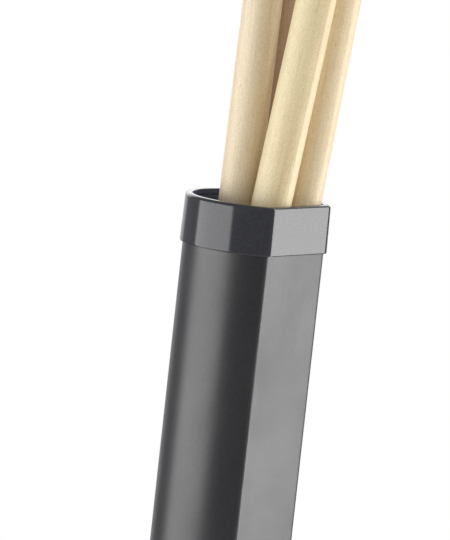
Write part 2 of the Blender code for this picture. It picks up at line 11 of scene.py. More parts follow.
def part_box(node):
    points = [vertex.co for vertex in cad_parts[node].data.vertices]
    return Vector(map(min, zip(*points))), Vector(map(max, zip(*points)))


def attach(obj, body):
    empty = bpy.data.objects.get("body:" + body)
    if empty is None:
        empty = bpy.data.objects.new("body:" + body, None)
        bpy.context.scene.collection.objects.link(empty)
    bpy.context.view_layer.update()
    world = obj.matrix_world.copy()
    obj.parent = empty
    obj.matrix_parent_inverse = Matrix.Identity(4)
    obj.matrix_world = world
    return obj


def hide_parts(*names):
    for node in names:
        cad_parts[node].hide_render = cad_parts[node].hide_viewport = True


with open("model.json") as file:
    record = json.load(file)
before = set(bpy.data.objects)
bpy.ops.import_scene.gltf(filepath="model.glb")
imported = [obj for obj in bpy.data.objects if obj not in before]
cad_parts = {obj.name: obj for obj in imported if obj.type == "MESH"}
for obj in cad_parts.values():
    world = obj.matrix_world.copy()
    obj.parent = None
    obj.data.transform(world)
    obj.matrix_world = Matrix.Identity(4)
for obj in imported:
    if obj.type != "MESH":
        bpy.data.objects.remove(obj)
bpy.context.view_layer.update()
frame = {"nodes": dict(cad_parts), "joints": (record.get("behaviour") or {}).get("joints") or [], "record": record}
RECORD = frame["record"]
JOINTS = {joint["name"]: joint for joint in frame["joints"]}
MOUNTS = {mount["name"]: mount for mount in RECORD["mounts"]}

# The part's driving dimensions that the frame doesn't state, in metres.
TUBE_WALL = 0.0018
CORNER_RADIUS = 0.0032
COLLAR_DRAFT = 0.0003
GAP = 0.0003
SCREW_HEIGHT = 0.0102
THREAD_PITCH = 0.00125
POLE_RADIUS = 0.011
V_HALF_ANGLE = radians(60)
TILT_BORE = 0.0033
PAD_THICKNESS = 0.0012

# What several visual pieces share.
PAD_EDGE = 0.00025
JAW_CORNER = 0.002
GROOVES = range(-3, 4)  # a pad's grooves, counted from its middle
THROUGH = 0.02  # enough to bore right through a piece

# How strong each stick's grain lines are, and its tone: the rear one is darkened and tinted mauve as painted
# shade, for the shade it lies in behind the others.
STICK_LOOKS = {
    "stick_1": (0.25, (1, 1, 1.05)),
    "stick_2": (0.6, (1, 1, 0.94)),
    "stick_3": (0.3, (0.97, 0.95, 0.96)),
    "stick_4": (0.4, (0.56, 0.49, 0.52)),
}
STICK_TURN = 2.1  # how much further each stick is turned than the one before, in radians

# What the camera and the lights are set by.
CAMERA_AZIMUTH = radians(35.8)
CAMERA_ELEVATION = radians(2.55)
CAMERA_DISTANCE = 2.4
VIEW_HEIGHT = 0.1983  # of the view at the object
RIM_RIGHT = 0.01248  # the mouth's centre, right of and above the view's centre
RIM_UP = 0.0262
FLOOR_HEIGHT = -0.6
AROUND_COLOUR = (0.28, 0.282, 0.302)  # the surround, as all but the camera sees it


# Places read from the frame


def reach_along(node, origin, axis):
    """The lowest and highest distance of a CAD node's points from origin along axis."""
    far = [(vertex.co - origin).dot(axis) for vertex in frame["nodes"][node].data.vertices]
    return min(far), max(far)


def frame_from(origin, z_axis, x_hint=Vector((1, 0, 0))):
    """A matrix whose +Z is z_axis and whose +X is as near x_hint as it can be."""
    z = z_axis.normalized()
    y = z.cross(x_hint).normalized()
    x = y.cross(z)
    made = Matrix((x, y, z)).transposed().to_4x4()
    made.translation = origin
    return made


def shifted(matrix, x=0.0, y=0.0, z=0.0):
    return matrix @ Matrix.Translation((x, y, z))


ORIGIN, X, Y, Z = Vector((0, 0, 0)), Vector((1, 0, 0)), Vector((0, 1, 0)), Vector((0, 0, 1))
PIVOT = Vector(JOINTS["tilt"]["pos_m"])
TUBE_UP = -Vector(MOUNTS["bottom_face"]["axis"])
TUBE_FRONT = Vector(JOINTS["tilt"]["axis"]).cross(TUBE_UP)
BASE = Vector(MOUNTS["bottom_face"]["pos_m"])
TUBE = frame_from(BASE, TUBE_UP, TUBE_FRONT)
TUBE_RADIUS = reach_along("quiver_tube", BASE, Y)[1]
TUBE_FLAT = reach_along("quiver_tube", BASE, TUBE_FRONT)[1]
TUBE_LOW, TUBE_HIGH = reach_along("quiver_tube", BASE, TUBE_UP)
COLLAR_LOW, RIM = reach_along("top_collar", BASE, TUBE_UP)
COLLAR_OVERHANG = reach_along("top_collar", BASE, Y)[1] - TUBE_RADIUS
PAD_LOW, PAD_TOP = reach_along("stick_pad", BASE, TUBE_UP)
PIVOT_HEIGHT = (PIVOT - BASE).dot(TUBE_UP)
PIVOT_BEHIND = (BASE - PIVOT).dot(TUBE_FRONT)
SCREW_LINE = frame_from(ORIGIN, X, Z)
UPRIGHT = frame_from(ORIGIN, -Y, X)  # the clamp seen from the side: x as in the part, y up


# Mesh making


def arc(centre, radius, start, end, steps=16):
    angles = [start + (end - start) * i / steps for i in range(steps + 1)]
    return [(centre[0] + radius * cos(a), centre[1] + radius * sin(a)) for a in angles]


def circle(radius, sides=64):
    return [(radius * cos(2 * pi * i / sides), radius * sin(2 * pi * i / sides)) for i in range(sides)]


def quarter(steps):
    """The angles of a quarter turn."""
    return [radians(90) * i / steps for i in range(steps + 1)]


def rounded_outline(corners, steps=8):
    """An outline through (x, y, radius) corners, each rounded by its radius."""
    points = []
    for i, (x, y, radius) in enumerate(corners):
        here = Vector((x, y))
        before = (Vector(corners[i - 1][:2]) - here).normalized()
        after = (Vector(corners[(i + 1) % len(corners)][:2]) - here).normalized()
        if radius == 0:
            points.append((x, y))
            continue
        half = before.angle(after) / 2
        centre = here + (before + after).normalized() * radius / sin(half)
        first = here + before * radius / tan(half) - centre
        last = here + after * radius / tan(half) - centre
        start = atan2(first.y, first.x)
        turn = (atan2(last.y, last.x) - start + pi) % (2 * pi) - pi
        points += arc(centre, radius, start, start + turn, steps)
    return points


def d_outline(inset):
    """The tube's section, a circle cut by a flat that faces +X, moved inwards by inset."""
    arc_steps, corner_steps = 132, 12
    least_corner = 0.0004
    radius = TUBE_RADIUS - inset
    flat = TUBE_FLAT - inset
    corner = max(CORNER_RADIUS - inset, least_corner)
    corner_x = flat - corner
    corner_y = sqrt((radius - corner) ** 2 - corner_x**2)
    tangent = atan2(corner_y, corner_x)
    points = arc((0, 0), radius, tangent, 2 * pi - tangent, arc_steps)[:-1]
    points += arc((corner_x, -corner_y), corner, -tangent, 0, corner_steps)
    # close points at both ends of the flat keep its shading flat
    points += [(flat, 0.97 * y) for y in (-corner_y, 0, corner_y)]
    points += arc((corner_x, corner_y), corner, 0, tangent, corner_steps)[:-1]
    return points


def skin(rings, closed_ring=False):
    """A mesh through rings of equal length. A ring of one point closes to a tip."""
    shape = bmesh.new()
    made = [[shape.verts.new(point) for point in ring] for ring in rings]
    following = made[1:] + made[:1] if closed_ring else made[1:]
    for low, high in zip(made, following):
        count = max(len(low), len(high))
        for i in range(count):
            j = (i + 1) % count
            if len(low) == 1:
                shape.faces.new((low[0], high[j], high[i]))
            elif len(high) == 1:
                shape.faces.new((low[i], low[j], high[0]))
            else:
                shape.faces.new((low[i], low[j], high[j], high[i]))
    if not closed_ring:
        for ring in (made[0], made[-1]):
            if len(ring) > 1:
                shape.faces.new(ring)
    bmesh.ops.recalc_face_normals(shape, faces=shape.faces)
    mesh = bpy.data.meshes.new("skin")
    shape.to_mesh(mesh)
    shape.free()
    return mesh


def d_loft(sections, closed_ring=False):
    """A mesh through D sections given as (inset, height)."""
    return skin([[(x, y, z) for x, y in d_outline(inset)] for inset, z in sections], closed_ring)


def revolve(rows, sides=96, closed_ring=False, ripple=None):
    """A turned mesh from (radius, height) rows. ripple(angle, radius, height) gives each point's radius."""
    rings = []
    for radius, height in rows:
        if radius == 0:
            rings.append([(0, 0, height)])
            continue
        ring = []
        for i in range(sides):
            a = 2 * pi * i / sides
            r = ripple(a, radius, height) if ripple else radius
            ring.append((r * cos(a), r * sin(a), height))
        rings.append(ring)
    return skin(rings, closed_ring)


def cylinder(radius, low, high, sides):
    """A plain cylinder between two heights."""
    return revolve([(0, low), (radius, low), (radius, high), (0, high)], sides)


def rounded_rows(rows, radius):
    """The rows of a turned profile with each sharp corner rounded by up to radius."""
    steps, least_turn = 5, radians(12)
    points = [Vector(row) for row in rows]
    rounded = [tuple(points[0])]
    for before, here, after in zip(points, points[1:], points[2:]):
        into, out = here - before, after - here
        turn = into.angle(out)
        if turn < least_turn:
            rounded.append(tuple(here))
            continue
        cut = min(radius * tan(turn / 2), into.length * 0.48, out.length * 0.48)
        first, last = here - into.normalized() * cut, here + out.normalized() * cut
        for i in range(steps + 1):
            t = i / steps
            rounded.append(tuple((1 - t) ** 2 * first + 2 * t * (1 - t) * here + t**2 * last))
    rounded.append(tuple(points[-1]))
    return rounded


def slab(outline, thickness):
    """A flat outline made thick, spread evenly about z = 0."""
    shape = bmesh.new()
    low = [shape.verts.new((x, y, -thickness / 2)) for x, y in outline]
    high = [shape.verts.new((x, y, thickness / 2)) for x, y in outline]
    for i in range(len(low)):
        j = (i + 1) % len(low)
        shape.faces.new((low[i], low[j], high[j], high[i]))
    shape.faces.new(low)
    shape.faces.new(high)
    bmesh.ops.recalc_face_normals(shape, faces=shape.faces)
    mesh = bpy.data.meshes.new("slab")
    shape.to_mesh(mesh)
    shape.free()
    return mesh


def place(name, mesh, matrix):
    made = bpy.data.objects.new(name, mesh)
    bpy.context.scene.collection.objects.link(made)
    made.matrix_world = matrix
    return made


def apply_modifiers(piece):
    graph = bpy.context.evaluated_depsgraph_get()
    mesh = bpy.data.meshes.new_from_object(piece.evaluated_get(graph))
    piece.modifiers.clear()
    piece.data = mesh


def combine(piece, mesh, matrix, operation):
    """Joins the mesh to the piece, or cuts it out, or keeps what they share."""
    tool = place("tool", mesh, matrix)
    made = piece.modifiers.new("combine", "BOOLEAN")
    made.object = tool
    made.operation = operation
    made.solver = "EXACT"
    apply_modifiers(piece)
    bpy.data.objects.remove(tool)


def bevel(piece, width, segments=3, angle=35):
    made = piece.modifiers.new("bevel", "BEVEL")
    made.width = width
    made.segments = segments
    made.limit_method = "ANGLE"
    made.angle_limit = radians(angle)
    apply_modifiers(piece)


def combine_slab(piece, outline, thickness, edge, matrix, operation):
    """Joins a slab with rounded edges to the piece, or cuts it out."""
    part = place("part", slab(outline, thickness), matrix)
    bevel(part, edge)
    combine(piece, part.data.copy(), matrix, operation)
    bpy.data.objects.remove(part)


def line_inside(piece, sections, rows, look):
    """Gives a D loft's inner rows, counted from 0, a second material."""
    piece.data.materials.append(look)
    per_row = len(piece.data.polygons) // len(sections)
    for face in piece.data.polygons:
        if face.index // per_row in rows:
            face.material_index = 1


def finish_piece(piece, look, body, slot, *nodes, smooth=32):
    """Gives a piece its material, shading and body, and hides the CAD nodes that it stands for. The slot is not
    used.
    """
    piece.data.materials.clear()
    piece.data.materials.append(look)
    piece.data.shade_smooth()
    piece.data.set_sharp_from_angle(angle=radians(smooth))
    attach(piece, body)
    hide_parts(*nodes)


# Materials


class Look:
    """A Principled material and short ways to add nodes to it."""

    def __init__(self, name, colour, roughness, metallic=0.0):
        self.material = bpy.data.materials.new(name)
        self.material.use_nodes = True
        self.tree = self.material.node_tree
        self.shader = self.tree.nodes["Principled BSDF"]
        self.set("Base Color", (*colour, 1))
        self.set("Roughness", roughness)
        self.set("Metallic", metallic)
        self.where = self.tree.nodes.new("ShaderNodeTexCoord").outputs["Object"]

    def set(self, socket, value):
        self.shader.inputs[socket].default_value = value

    def link(self, output, target):
        self.tree.links.new(output, target)

    def node(self, kind, values=(), **settings):
        made = self.tree.nodes.new(kind)
        for key, value in settings.items():
            setattr(made, key, value)
        for key, value in dict(values).items():
            made.inputs[key].default_value = value
        return made

    def scaled(self, scale):
        made = self.node("ShaderNodeMapping", {"Scale": scale})
        self.link(self.where, made.inputs["Vector"])
        return made.outputs["Vector"]

    def noise(self, scale, detail=3.0, stretch=(1, 1, 1), roughness=0.55, distortion=0.0):
        values = {"Scale": scale, "Detail": detail, "Roughness": roughness, "Distortion": distortion}
        made = self.node("ShaderNodeTexNoise", values)
        self.link(self.scaled(stretch), made.inputs["Vector"])
        return made.outputs["Fac"]

    def ramp(self, source, stops):
        made = self.node("ShaderNodeValToRGB")
        elements = made.color_ramp.elements
        while len(elements) < len(stops):
            elements.new(0.5)
        for element, (position, colour) in zip(elements, stops):
            element.position = position
            element.color = (*colour, 1)
        self.link(source, made.inputs["Fac"])
        return made.outputs["Color"]

    def span(self, source, low, high, from_low=0.3, from_high=0.7):
        """A value that goes from low to high as a noise goes from from_low to from_high."""
        values = {"From Min": from_low, "From Max": from_high, "To Min": low, "To Max": high}
        made = self.node("ShaderNodeMapRange", values)
        self.link(source, made.inputs["Value"])
        return made.outputs["Result"]

    def multiply(self, first, second, share=1.0):
        made = self.node("ShaderNodeMix", {"Factor": share}, data_type="RGBA", blend_type="MULTIPLY")
        self.link(first, made.inputs["A"])
        self.link(second, made.inputs["B"])
        return made.outputs["Result"]

    def colour_from(self, output):
        self.link(output, self.shader.inputs["Base Color"])

    def roughness_from(self, output):
        self.link(output, self.shader.inputs["Roughness"])

    def bump(self, height, strength, distance):
        made = self.node("ShaderNodeBump", {"Strength": strength, "Distance": distance})
        self.link(height, made.inputs["Height"])
        previous = self.shader.inputs["Normal"].links
        if previous:
            self.link(previous[0].from_socket, made.inputs["Normal"])
        self.link(made.outputs["Normal"], self.shader.inputs["Normal"])


def grained_black(name, dark, light, roughness, grain_scale, grain_depth, rough_spread=0.06):
    """Black plastic, paint or rubber: a fine grain, faint cloudy wear and uneven gloss."""
    look = Look(name, dark, roughness)
    grain = look.noise(grain_scale, 2.0)
    cloud = look.noise(38, 4.0)
    look.colour_from(look.ramp(look.noise(grain_scale * 0.55, 2.0), [(0.35, dark), (0.7, light)]))
    look.roughness_from(look.span(cloud, roughness - rough_spread, roughness + rough_spread))
    look.bump(grain, 0.55, grain_depth)
    return look


def satin_tube():
    """Satin black paint with a fine orange peel."""
    dark, light = (0.008, 0.008, 0.009), (0.015, 0.015, 0.016)
    look = grained_black(
        "satin_black", dark, light, roughness=0.36, grain_scale=1500, grain_depth=0.00004, rough_spread=0.04
    )
    look.set("Specular IOR Level", 0.9)
    look.bump(look.noise(340, 2.0), 0.35, 0.00005)
    return look.material


def gloss_collar():
    """Glossy black with a faint ripple in its reflections."""
    dark, light = (0.027, 0.0275, 0.032), (0.036, 0.0365, 0.041)
    look = grained_black(
        "gloss_black", dark, light, roughness=0.12, grain_scale=1900, grain_depth=0.00001, rough_spread=0.02
    )
    look.set("Specular IOR Level", 0.63)
    look.bump(look.noise(260, 1.0), 0.25, 0.00002)
    return look.material


def inner_wall():
    """The unpainted plastic inside the tube, a matt blue-black, made lighter and bluer as painted light for the
    inside of the mouth.
    """
    dark, light = (0.10, 0.11, 0.20), (0.13, 0.14, 0.24)
    look = grained_black("matt_blue_black", dark, light, roughness=0.6, grain_scale=1300, grain_depth=0.00004)
    look.set("Specular IOR Level", 0.3)
    return look.material


def moulded_black():
    dark, light = (0.014, 0.014, 0.015), (0.026, 0.026, 0.028)
    look = grained_black("moulded_black", dark, light, roughness=0.48, grain_scale=2300, grain_depth=0.00006)
    return look.material


def rubber():
    dark, light = (0.018, 0.018, 0.018), (0.032, 0.031, 0.030)
    look = grained_black("black_rubber", dark, light, roughness=0.82, grain_scale=1700, grain_depth=0.00006)
    look.set("Specular IOR Level", 0.35)
    return look.material


def foam():
    """Closed-cell foam: cell mouths darkened as painted shade in their pits, between lighter walls."""
    look = Look("grey_foam", (0.07, 0.07, 0.075), 0.95)
    cells = look.node("ShaderNodeTexVoronoi", {"Scale": 1500.0}, feature="DISTANCE_TO_EDGE")
    look.link(look.where, cells.inputs["Vector"])
    edge = cells.outputs["Distance"]
    # darker towards the middle of each cell, where the bump sinks it: painted shade in the pits
    look.colour_from(look.ramp(edge, [(0.0, (0.115, 0.115, 0.12)), (0.35, (0.045, 0.045, 0.05))]))
    look.bump(look.span(edge, 1.0, 0.0, 0.0, 0.4), 0.8, 0.0002)
    return look.material


def fibre():
    look = Look("friction_fibre", (0.16, 0.14, 0.12), 0.88)
    threads = look.noise(1300, 4.0, (1, 1, 0.3), distortion=1.2)
    look.colour_from(look.ramp(threads, [(0.3, (0.09, 0.075, 0.06)), (0.7, (0.22, 0.19, 0.155))]))
    look.bump(threads, 0.6, 0.0001)
    return look.material


def zinc():
    """Zinc-plated steel: a faint blue and straw tint that drifts, and fine handling marks."""
    look = Look("zinc_plated_steel", (0.6, 0.61, 0.63), 0.3, 1.0)
    tint = look.noise(160, 4.0, distortion=0.6)
    stops = [(0.3, (0.50, 0.53, 0.58)), (0.55, (0.63, 0.64, 0.65)), (0.75, (0.66, 0.63, 0.56))]
    look.colour_from(look.ramp(tint, stops))
    marks = look.noise(1100, 5.0, (1, 1, 0.12))
    look.roughness_from(look.span(marks, 0.22, 0.42))
    look.bump(marks, 0.2, 0.00002)
    return look.material


def brass():
    look = Look("turned_brass", (0.72, 0.53, 0.22), 0.28, 1.0)
    tarnish = look.noise(220, 4.0)
    look.colour_from(look.ramp(tarnish, [(0.3, (0.55, 0.38, 0.15)), (0.65, (0.77, 0.59, 0.28))]))
    rings = look.noise(2600, 2.0, (0.05, 0.05, 1))
    look.roughness_from(look.span(rings, 0.2, 0.4))
    look.bump(rings, 0.25, 0.00002)
    return look.material


def maple(name, seed, line_share, tone_and_shade):
    """Pale lacquered maple, with long growth bands, streaks, fine pores and short flecks."""
    # each colour is scaled by the stick's tone, which for the rear stick is painted shade
    pale, mid, deep = [
        tuple(channel * share for channel, share in zip(colour, tone_and_shade))
        for colour in ((0.86, 0.74, 0.50), (0.83, 0.70, 0.455), (0.75, 0.59, 0.37))
    ]
    look = Look(name, pale, 0.45)
    shift = look.node("ShaderNodeMapping", {"Location": (0.013 * seed, 0.007 * seed, 0.11 * seed)})
    look.link(look.where, shift.inputs["Vector"])
    look.where = shift.outputs["Vector"]
    bands = look.noise(170, 3.0, (1, 1, 0.04), distortion=0.35)
    streaks = look.noise(1250, 3.0, (1, 1, 0.035), 0.6)
    pores = look.noise(4200, 2.0, (1, 1, 0.10), 0.6)
    flecks = look.noise(2600, 2.0, (1, 1, 0.6))
    line = look.noise(95, 1.0, (1, 1, 0.02), distortion=0.2)
    clear = (1, 1, 1)
    layers = [
        (streaks, 0.45, [(0.32, (0.86, 0.81, 0.73)), (0.52, clear)]),
        (pores, 0.5, [(0.30, (0.62, 0.52, 0.40)), (0.42, clear)]),
        (flecks, 0.8, [(0.35, (0.86, 0.82, 0.75)), (0.6, clear)]),
        (line, line_share, [(0.488, clear), (0.5, (0.80, 0.68, 0.52)), (0.512, clear)]),
    ]
    colour = look.ramp(bands, [(0.25, deep), (0.42, mid), (0.58, pale), (0.8, pale)])
    for source, share, stops in layers:
        colour = look.multiply(colour, look.ramp(source, stops), share)
    look.colour_from(colour)
    look.roughness_from(look.span(streaks, 0.38, 0.55))
    look.set("Sheen Weight", 0.22)
    look.set("Sheen Roughness", 0.35)
    look.set("Coat Weight", 0.2)
    look.set("Coat Roughness", 0.3)
    look.bump(pores, 0.3, 0.00004)
    look.bump(streaks, 0.25, 0.00004)
    return look.material


SATIN = satin_tube()
GLOSS = gloss_collar()
INSIDE = inner_wall()
MOULDED = moulded_black()
RUBBER = rubber()
FOAM = foam()
FIBRE = fibre()
ZINC = zinc()
BRASS = brass()


# Camera, lights and floor


def studio_camera():
    a, e = CAMERA_AZIMUTH, CAMERA_ELEVATION
    back = Vector((sin(a) * cos(e), -cos(a) * cos(e), sin(e)))
    right = Vector((cos(a), sin(a), 0))
    up = back.cross(right)
    mouth = BASE + TUBE_UP * RIM
    target = mouth - right * RIM_RIGHT - up * RIM_UP
    data = bpy.data.cameras.new("camera")
    data.lens = data.sensor_width * CAMERA_DISTANCE / VIEW_HEIGHT
    data.clip_end = 50
    camera = bpy.data.objects.new("camera", data)
    bpy.context.scene.collection.objects.link(camera)
    camera.location = target + back * CAMERA_DISTANCE
    camera.rotation_euler = back.to_track_quat("Z", "Y").to_euler()
    bpy.context.scene.camera = camera
    bpy.context.scene.view_settings.view_transform = "Standard"


def softbox(name, bearing, distance, centre_height, width, height, radiance, mirrored=True):
    """A soft panel that faces the tube. bearing is in degrees from the camera's side, right positive.

    A panel that isn't mirrored lights the object without being seen in its gloss.
    """
    a = CAMERA_AZIMUTH + radians(bearing)
    away = Vector((sin(a), -cos(a), 0))
    data = bpy.data.lights.new(name, "AREA")
    data.shape = "RECTANGLE"
    data.size = width
    data.size_y = height
    data.energy = radiance * pi * width * height
    light = bpy.data.objects.new(name, data)
    bpy.context.scene.collection.objects.link(light)
    light.location = PIVOT + away * distance + Z * centre_height
    light.rotation_euler = away.to_track_quat("Z", "Y").to_euler()
    light.visible_camera = False
    light.visible_glossy = mirrored


def coloured(tree, kind, colour):
    made = tree.nodes.new(kind)
    made.inputs["Color"].default_value = (*colour, 1)
    return made.outputs[0]


def white_to_camera(tree, white, other, output_kind):
    """The camera sees white there, and all other rays meet the other shader."""
    rays = tree.nodes.new("ShaderNodeLightPath")
    mix = tree.nodes.new("ShaderNodeMixShader")
    output = tree.nodes.new(output_kind)
    tree.links.new(rays.outputs["Is Camera Ray"], mix.inputs["Fac"])
    tree.links.new(other, mix.inputs[1])
    tree.links.new(white, mix.inputs[2])
    tree.links.new(mix.outputs["Shader"], output.inputs["Surface"])


def white_stage():
    """A white floor and a white surround."""
    white, floor_grey = (1, 1, 1), (0.7, 0.7, 0.7)
    world = bpy.data.worlds.new("surround")
    bpy.context.scene.world = world
    world.use_nodes = True
    tree = world.node_tree
    tree.nodes.clear()
    seen = coloured(tree, "ShaderNodeBackground", white)
    around = coloured(tree, "ShaderNodeBackground", AROUND_COLOUR)
    white_to_camera(tree, seen, around, "ShaderNodeOutputWorld")

    radius, thickness = 14, 0.02
    matrix = Matrix.Translation((0, 0, FLOOR_HEIGHT - thickness / 2))
    floor = place("floor", slab(circle(radius), thickness), matrix)
    look = bpy.data.materials.new("white_floor")
    look.use_nodes = True
    tree = look.node_tree
    tree.nodes.clear()
    seen = coloured(tree, "ShaderNodeEmission", white)
    matt = coloured(tree, "ShaderNodeBsdfDiffuse", floor_grey)
    white_to_camera(tree, seen, matt, "ShaderNodeOutputMaterial")
    floor.data.materials.append(look)


# The quiver


def tube_piece():
    """The tube's wall, with its edges slightly broken."""
    edge = 0.0003
    outside = [(edge, TUBE_LOW), (0, TUBE_LOW + edge), (0, TUBE_HIGH - edge), (edge, TUBE_HIGH)]
    inside = [(TUBE_WALL - inset, height) for inset, height in reversed(outside)]
    sections = outside + inside
    piece = place("tube_shell", d_loft(sections, closed_ring=True), TUBE)
    finish_piece(piece, SATIN, "quiver", "tube", "quiver_tube")
    line_inside(piece, sections, range(len(outside), len(sections) - 1), INSIDE)


def collar_piece():
    """A slightly tapered band that laps over the tube, with a rounded shoulder and a small inner round."""
    low_edge, inner_edge = 0.0003, 0.0002
    shoulder, inner_round = 0.0012, 0.0004
    over, top = COLLAR_OVERHANG, COLLAR_OVERHANG - COLLAR_DRAFT
    sections = [(low_edge - over, COLLAR_LOW), (low_edge / 3 - over, COLLAR_LOW + low_edge / 3)]
    sections += [(-over, COLLAR_LOW + low_edge), (-over, COLLAR_LOW + 2 * low_edge)]
    sections += [(shoulder * (1 - cos(a)) - top, RIM - shoulder * (1 - sin(a))) for a in quarter(10)]
    for a in quarter(6):
        sections.append((TUBE_WALL - inner_round * (1 - sin(a)), RIM - inner_round * (1 - cos(a))))
    lip = TUBE_HIGH + GAP
    lip_row = len(sections) - 1
    sections += [(TUBE_WALL, lip), (-GAP, lip)]
    sections += [(-GAP, COLLAR_LOW + inner_edge), (-GAP - inner_edge, COLLAR_LOW)]
    piece = place("collar_ring", d_loft(sections, closed_ring=True), TUBE)
    finish_piece(piece, GLOSS, "quiver", "collar", "top_collar")
    line_inside(piece, sections, (lip_row,), INSIDE)


def cap_piece():
    """The bottom plug, with a shallow dished underside inside a raised rim."""
    plug_top = reach_along("bottom_cap", BASE, TUBE_UP)[1]
    flange, plug = TUBE_LOW - GAP, TUBE_WALL + GAP
    rim_round, flange_edge, plug_edge = 0.0012, 0.0003, 0.0006
    dish = [(0.0062, 0.0008), (0.0054, 0.0007), (0.0049, 0.0002), (0.0044, 0)]
    sections = dish + [(rim_round * (1 - sin(a)), rim_round * (1 - cos(a))) for a in quarter(5)]
    sections += [(0, flange - flange_edge), (flange_edge, flange), (plug, flange)]
    sections += [(plug, plug_top - plug_edge), (plug + plug_edge, plug_top)]
    piece = place("bottom_plug", d_loft(sections), TUBE)
    finish_piece(piece, MOULDED, "quiver", "moulded", "bottom_cap")


def stick_lines():
    """Each stick's name with its butt's centre and its direction, from the CAD node and its joint."""
    lines = {}
    for node in STICK_LOOKS:
        along = Vector(JOINTS[f"{node}_pull"]["axis"]).normalized()
        butt = along * reach_along(node, Vector(), along)[0]
        for across in (along.cross(Y).normalized(), along.cross(along.cross(Y)).normalized()):
            butt += across * sum(reach_along(node, Vector(), across)) / 2
        lines[node] = (butt, along)
    return lines


STICK_LINES = stick_lines()


def foam_piece():
    """The pad's foam, which dents under each stick's butt."""
    edge, crown, top_round, centre_gap = 0.0007, 0.000245, 0.00021, 0.0012
    dent_depth, dent_radius = 0.0006, 0.0072
    steps = 26
    dents = [TUBE.inverted() @ butt for butt, _ in STICK_LINES.values()]
    side = TUBE_WALL + 2 * GAP
    top_width = TUBE_FLAT - side - centre_gap
    rings = [[(x, y, height) for x, y in d_outline(side)] for height in (PAD_LOW, PAD_TOP - edge)]
    for i in range(steps):
        fall = crown if i == 0 else 0
        ring = []
        for x, y in d_outline(side + top_round + top_width * i / steps):
            press = sum(exp(-(((x - d.x) ** 2 + (y - d.y) ** 2) / dent_radius**2) ** 2) for d in dents)
            ring.append((x, y, PAD_TOP - fall - dent_depth * min(1, press)))
        rings.append(ring)
    piece = place("foam_pad", skin(rings), TUBE)
    finish_piece(piece, FOAM, "quiver", "foam", "stick_pad")


def stick_rows():
    """A stick's profile: rounded butt, plain shaft, shoulder, neck and oval tip."""
    length = 0.406
    radius, neck_radius, tip_radius = 0.0073, 0.0029, 0.0046
    shoulder, neck, tip = 0.306, 0.391, 0.3985
    edge = 0.0018
    shaft_steps, taper_steps = 24, 20
    tip_from, tip_to, tip_step = -52, 90, 7
    rows = [(0, 0), (radius - edge, 0)]
    rows += [(radius - edge * (1 - sin(a)), edge * (1 - cos(a))) for a in quarter(8)[1:]]
    rows += [(radius, shoulder * i / shaft_steps) for i in range(1, shaft_steps + 1)]
    for i in range(1, taper_steps):
        share = i / taper_steps
        swell = sin((1 - share) * pi / 2)
        rows.append((neck_radius + (radius - neck_radius) * swell, shoulder + (neck - shoulder) * share))
    for degrees in range(tip_from, tip_to, tip_step):
        a = radians(degrees)
        rows.append((tip_radius * cos(a), tip + (length - tip) * sin(a)))
    rows.append((0, length))
    return rows


def stick_pieces():
    mesh = revolve(stick_rows(), 72)
    for number, (node, (butt, along)) in enumerate(STICK_LINES.items(), 1):
        line_share, tone_and_shade = STICK_LOOKS[node]
        look = maple(f"maple_{number}", number, line_share, tone_and_shade)
        matrix = frame_from(butt, along) @ Matrix.Rotation(STICK_TURN * number, 4, "Z")
        piece = place(f"drumstick_{number}", mesh.copy(), matrix)
        finish_piece(piece, look, node, "stick_wood", node)


# Fasteners


def thread(radius, pitch, low, high):
    """A ripple that cuts a helical thread between two heights and fades out at its ends."""
    least_radius = radius * 0.97

    def at(angle, row_radius, height):
        if not low < height < high or row_radius < least_radius:
            return row_radius
        phase = (height / pitch - angle / (2 * pi)) % 1
        fade = min(1, (height - low) / pitch, (high - height) / pitch)
        return row_radius - 0.5 * pitch * fade * abs(2 * phase - 1)

    return at


def knurl(ridges, depth, from_radius):
    """A ripple of fine ridges on everything that lies outside from_radius."""

    def at(angle, row_radius, height):
        return row_radius - (depth * (0.5 - 0.5 * cos(ridges * angle)) if row_radius > from_radius else 0)

    return at


def rod_rows(low, high, radius, pitch):
    """Rows close enough to carry a thread."""
    rows_per_turn = 8
    count = ceil((high - low) / pitch * rows_per_turn)
    return [(radius, low + (high - low) * i / count) for i in range(count + 1)]


def hexagon(across, height):
    """A hexagon prism whose corners are turned down at both ends, spread about z = 0."""
    corner, half = across / sqrt(3), height / 2
    turned_down, chamfer, clear, past = 0.00132, 0.0005, 0.0002, 0.0003
    face, side = corner - turned_down, corner + clear
    piece = place("hexagon", slab(circle(corner, 6), height), Matrix.Identity(4))
    rows = [(0, -height), (face, -half - past), (side, -half + chamfer)]
    rows += [(side, half - chamfer), (face, half + past), (0, height)]
    combine(piece, revolve(rows, 48), Matrix.Identity(4), "INTERSECT")
    mesh = piece.data
    bpy.data.objects.remove(piece)
    return mesh


def ring(inner, outer, thickness, edge=0.0002, sides=72, ripple=None):
    """A flat ring with broken edges, spread about z = 0."""
    half = thickness / 2
    rows = [(inner, -half + edge), (inner + edge, -half), (outer - edge, -half), (outer, -half + edge)]
    rows += [(outer, half - edge), (outer - edge, half), (inner + edge, half), (inner, half - edge)]
    return revolve(rows, sides, closed_ring=True, ripple=ripple)


def cross_recess(width, depth):
    half, slim = width / 2, width / 9
    outline = [(half, slim), (slim, slim), (slim, half), (-slim, half), (-slim, slim), (-half, slim)]
    outline += [(-x, -y) for x, y in outline]
    return slab(outline, 2 * depth)


def middle(node, origin, axis):
    """Where the middle of a CAD node lies from origin along axis, and half its length there."""
    low, high = reach_along(node, origin, axis)
    return (low + high) / 2, (high - low) / 2


